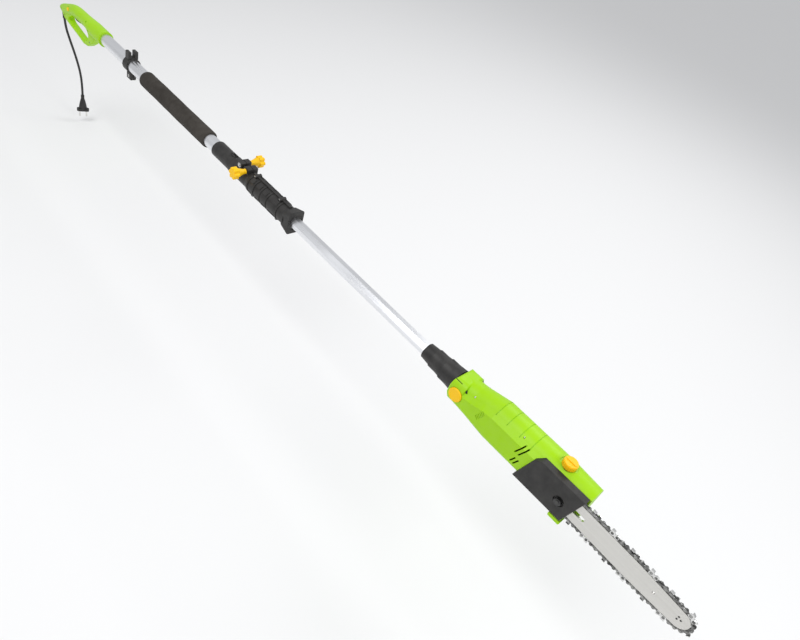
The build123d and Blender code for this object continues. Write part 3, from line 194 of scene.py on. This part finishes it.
def dusting_group():
    """Pale dust mixed over the colour where a noise of small patches is high."""
    group, source, sink = new_group("settled_dust", [
        ("Vector", "NodeSocketVector", None), ("Colour", "NodeSocketColor", (0.5, 0.5, 0.5, 1)),
        ("Dust", "NodeSocketColor", (0.6, 0.58, 0.54, 1)), ("Amount", "NodeSocketFloat", 0.05),
    ], [("Colour", "NodeSocketColor"), ("Mask", "NodeSocketFloat")])
    specks = noise(group, source.outputs["Vector"], DUST_SCALE, 6.0)
    spread = map_range(group, specks.outputs["Fac"], 0.0, source.outputs["Amount"])
    mix = group.nodes.new("ShaderNodeMix")
    mix.data_type = "RGBA"
    group.links.new(spread.outputs["Result"], mix.inputs["Factor"])
    group.links.new(source.outputs["Colour"], mix.inputs["A"])
    group.links.new(source.outputs["Dust"], mix.inputs["B"])
    group.links.new(mix.outputs["Result"], sink.inputs["Colour"])
    group.links.new(spread.outputs["Result"], sink.inputs["Mask"])
    return group


MOTTLED, BRUSHED, DUST = mottled_group(), brushed_group(), dusting_group()


def rgba(colour):
    """Colour with full opacity."""
    return (*colour, 1.0)


def finish_material(name, kind, colour, shade, values, dust):
    """Material: a group gives colour, roughness and normal; dust lies on the colour."""
    material = bpy.data.materials.new(name)
    material.use_nodes = True
    nodes, links = material.node_tree.nodes, material.node_tree.links
    principled = nodes["Principled BSDF"]
    place = nodes.new("ShaderNodeTexCoord")
    effect = nodes.new("ShaderNodeGroup")
    effect.node_tree = kind
    links.new(place.outputs["Object"], effect.inputs["Vector"])
    effect.inputs["Colour"].default_value = rgba(colour)
    effect.inputs["Shade"].default_value = rgba(shade)
    for label, value in values.items():
        effect.inputs[label].default_value = value
    specks = nodes.new("ShaderNodeGroup")
    specks.node_tree = DUST
    links.new(place.outputs["Object"], specks.inputs["Vector"])
    links.new(effect.outputs["Colour"], specks.inputs["Colour"])
    specks.inputs["Amount"].default_value = dust
    links.new(specks.outputs["Colour"], principled.inputs["Base Color"])
    links.new(effect.outputs["Roughness"], principled.inputs["Roughness"])
    links.new(effect.outputs["Normal"], principled.inputs["Normal"])
    return material


def moulded(name, colour, shade, low, high, grain, depth, specular):
    """Moulded plastic, rubber or foam with a fine spark grain."""
    values = {"Grain Scale": grain, "Grain Depth": depth, "Rough Low": low, "Rough High": high}
    material = finish_material(name, MOTTLED, colour, shade, values, MOULDED_DUST)
    material.node_tree.nodes["Principled BSDF"].inputs["Specular IOR Level"].default_value = specular
    return material


def metal(name, colour, shade, low, high, stretch, depth):
    """Metal with streaks along its grain."""
    values = {"Stretch": stretch, "Depth": depth, "Rough Low": low, "Rough High": high}
    material = finish_material(name, BRUSHED, colour, shade, values, METAL_DUST)
    material.node_tree.nodes["Principled BSDF"].inputs["Metallic"].default_value = 1.0
    return material


# Each moulded slot: colour, shade, roughness low and high, grain scale, grain depth, specular level
MOULDED = {
    "lime_shell": ((0.37, 0.7, 0.001), (0.34, 0.65, 0.001), 0.34, 0.44, 500.0, 0.05, 0.22),
    "black_plastic": ((0.016, 0.015, 0.015), (0.024, 0.023, 0.022), 0.42, 0.55, 900.0, 0.3, 0.35),
    "yellow_plastic": ((1.0, 0.6, 0.002), (0.96, 0.54, 0.002), 0.34, 0.44, 600.0, 0.06, 0.22),
    "foam": ((0.03, 0.026, 0.022), (0.048, 0.042, 0.036), 0.75, 0.92, 1300.0, 0.9, 0.2),
    "black_rubber": ((0.014, 0.014, 0.014), (0.022, 0.022, 0.022), 0.5, 0.62, 800.0, 0.2, 0.35),
    "cord_black": ((0.011, 0.011, 0.011), (0.017, 0.017, 0.017), 0.4, 0.5, 800.0, 0.12, 0.4),
    "cover_plastic": ((0.021, 0.02, 0.02), (0.027, 0.026, 0.025), 0.45, 0.58, 1000.0, 0.35, 0.3),
}
# Each metal slot: colour, shade, roughness low and high, stretch of the streaks, their depth
LENGTHWAYS = (6.0, 900.0, 900.0)
METALS = {
    "plug_metal": ((0.82, 0.81, 0.79), (0.7, 0.69, 0.67), 0.16, 0.26, LENGTHWAYS, 0.15),
    "pole_aluminium": ((0.9, 0.91, 0.93), (0.76, 0.77, 0.8), 0.24, 0.36, LENGTHWAYS, 0.15),
    "zinc_steel": ((0.62, 0.62, 0.6), (0.5, 0.5, 0.49), 0.25, 0.4, LENGTHWAYS, 0.15),
    "dark_steel": ((0.1, 0.1, 0.1), (0.05, 0.05, 0.05), 0.3, 0.5, LENGTHWAYS, 0.15),
    "bar_steel": ((0.7, 0.69, 0.66), (0.64, 0.63, 0.6), 0.36, 0.48, (5.0, 5.0, 500.0), 0.05),
    "chain_steel": ((0.4, 0.4, 0.39), (0.025, 0.025, 0.025), 0.22, 0.42, (130.0, 130.0, 130.0), 0.1),
    "cutter_chrome": ((0.85, 0.85, 0.84), (0.5, 0.5, 0.49), 0.15, 0.3, (90.0, 90.0, 90.0), 0.1),
}
MATERIALS = {name: moulded(name, *row) for name, row in MOULDED.items()}
MATERIALS.update({name: metal(name, *row) for name, row in METALS.items()})


def dress_frame():
    """Gives every carried-over node its slot's material."""
    slots = {part["node"]: part["material_slot"] for part in frame["record"]["subparts"]}
    for node, obj in frame["nodes"].items():
        obj.data.materials.clear()
        obj.data.materials.append(MATERIALS[slots[node]])


# ---- Meshes from grids ----
def grid_mesh(name, points, material, close_u=True, close_v=False, smooth=True):
    """Mesh from rows by columns of points: quads between neighbours, closed each way if asked."""
    rows, columns, _ = points.shape
    index = np.arange(rows * columns).reshape(rows, columns)
    up = np.roll(index, -1, axis=0) if close_v else index[1:]
    base = index if close_v else index[:-1]
    if close_u:
        quads = np.stack([base, np.roll(base, -1, axis=1), np.roll(up, -1, axis=1), up], axis=-1)
    else:
        quads = np.stack([base[:, :-1], base[:, 1:], up[:, 1:], up[:, :-1]], axis=-1)
    mesh = bpy.data.meshes.new(name)
    mesh.from_pydata(points.reshape(-1, 3), [], quads.reshape(-1, 4).tolist())
    mesh.shade_smooth() if smooth else mesh.shade_flat()
    mesh.materials.append(material)
    obj = bpy.data.objects.new(name, mesh)
    bpy.context.scene.collection.objects.link(obj)
    return obj


# ---- Cord ----
CORD_POINTS = [
    (-637, 0, -54), (-636, 1, -76), (-627, 8, -112), (-613, 18, -158), (-604, 26, -205),
    (-602, 29, -248), (-602, 29, -276),
]
CORD_RADIUS = 3.25


def mains_cord():
    """Quadratic spline through the cord's control points, swept with a round section."""
    curve = bpy.data.curves.new("mains_cord_jacket", "CURVE")
    curve.dimensions = "3D"
    curve.bevel_depth = CORD_RADIUS / 1000
    curve.bevel_resolution = 6
    curve.resolution_u = 24
    curve.use_fill_caps = True
    spline = curve.splines.new("NURBS")
    spline.points.add(len(CORD_POINTS) - 1)
    for point, place in zip(spline.points, CORD_POINTS):
        point.co = (*(v / 1000 for v in place), 1.0)
    spline.order_u = 3
    spline.use_endpoint_u = True
    curve.materials.append(MATERIALS["cord_black"])
    obj = bpy.data.objects.new("mains_cord_jacket", curve)
    bpy.context.scene.collection.objects.link(obj)
    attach(obj, "pole")
    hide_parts("mains_cord")


# ---- Foam grip ----
FOAM_BORE, FOAM_LIP = 0.0162, 0.0035
FOAM_ROWS, FOAM_COLUMNS = 90, 72
FOAM_DIP = 0.0003


def foam_grip():
    """Sleeve: its radius falls in a quarter round at each end, and dips by a slow wave along it."""
    low, high = (np.array(v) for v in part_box("foam_grip"))
    centre, half = (low + high) / 2, (high - low) / 2
    radius, length, bore, lip = half[2], half[0], FOAM_BORE, FOAM_LIP
    along = np.linspace(-1, 1, FOAM_ROWS) * (length - lip)
    bend = np.linspace(0, math.pi / 2, 8)
    left = np.stack([-(length - lip) - lip * np.cos(bend), radius - lip + lip * np.sin(bend)], axis=-1)
    right = np.stack([(length - lip) + lip * np.sin(bend), radius - lip + lip * np.cos(bend)], axis=-1)
    middle = np.stack([along[1:-1], np.full(FOAM_ROWS - 2, radius)], axis=-1)
    profile = np.concatenate([[[-length, bore]], left, middle, right, [[length, bore]]])
    turn = np.linspace(0, 2 * math.pi, FOAM_COLUMNS, endpoint=False)
    x, r = profile[:, :1], profile[:, 1:]
    dip = FOAM_DIP * np.sin(x * 61) * np.cos(turn * 3 + x * 25) - FOAM_DIP
    r = np.where(r > radius - 0.001, r + dip, r)
    points = np.stack([np.broadcast_to(x, r.shape), r * np.cos(turn), r * np.sin(turn)], axis=-1) + centre
    points = points[:, ::-1]
    obj = grid_mesh("foam_sleeve", points, MATERIALS["foam"], close_v=True)
    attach(obj, "pole")
    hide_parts("foam_grip")


# ---- Studio ----
FLOOR_HALF, FLOOR_DROP = 40, 0.02
WORLD_COLOUR, WORLD_STRENGTH = (0.97, 0.98, 1.0, 1), 0.62
# Each light: name, place, what it looks at, size, power
LIGHTS = (
    ("key", (0.2, -1.6, 2.9), (0.5, 0, 0), 1.6, 44.0),
    ("back", (0.6, 2.4, 2.4), (0.4, 0, 0), 1.4, 26.0),
    ("end", (2.8, 0.2, 1.7), (0.6, 0, 0), 1.0, 16.0),
)


def studio():
    """Pale floor below the plug, a pale sky and three large soft lights."""
    level = float(cad_box[0][2]) - FLOOR_DROP
    corners = [(x * FLOOR_HALF, y * FLOOR_HALF, level) for x, y in ((-1, -1), (1, -1), (1, 1), (-1, 1))]
    mesh = bpy.data.meshes.new("floor")
    mesh.from_pydata(corners, [], [(0, 1, 2, 3)])
    floor_material = bpy.data.materials.new("floor")
    floor_material.use_nodes = True
    shader = floor_material.node_tree.nodes["Principled BSDF"]
    shader.inputs["Base Color"].default_value = (0.86, 0.86, 0.86, 1)
    shader.inputs["Roughness"].default_value = 0.9
    mesh.materials.append(floor_material)
    floor = bpy.data.objects.new("floor", mesh)
    bpy.context.scene.collection.objects.link(floor)
    world = bpy.data.worlds.new("studio")
    world.use_nodes = True
    world.node_tree.nodes["Background"].inputs["Color"].default_value = WORLD_COLOUR
    world.node_tree.nodes["Background"].inputs["Strength"].default_value = WORLD_STRENGTH
    bpy.context.scene.world = world
    bpy.context.scene.view_settings.view_transform = "Standard"
    for name, place, aim, size, power in LIGHTS:
        light = bpy.data.lights.new(name, "AREA")
        light.size, light.energy = size, power
        lamp = bpy.data.objects.new(name, light)
        lamp.location = place
        direction = Vector(aim) - lamp.location
        lamp.rotation_euler = direction.to_track_quat("-Z", "Y").to_euler()
        bpy.context.scene.collection.objects.link(lamp)


set_camera()
mains_cord()
dress_frame()
foam_grip()
studio()
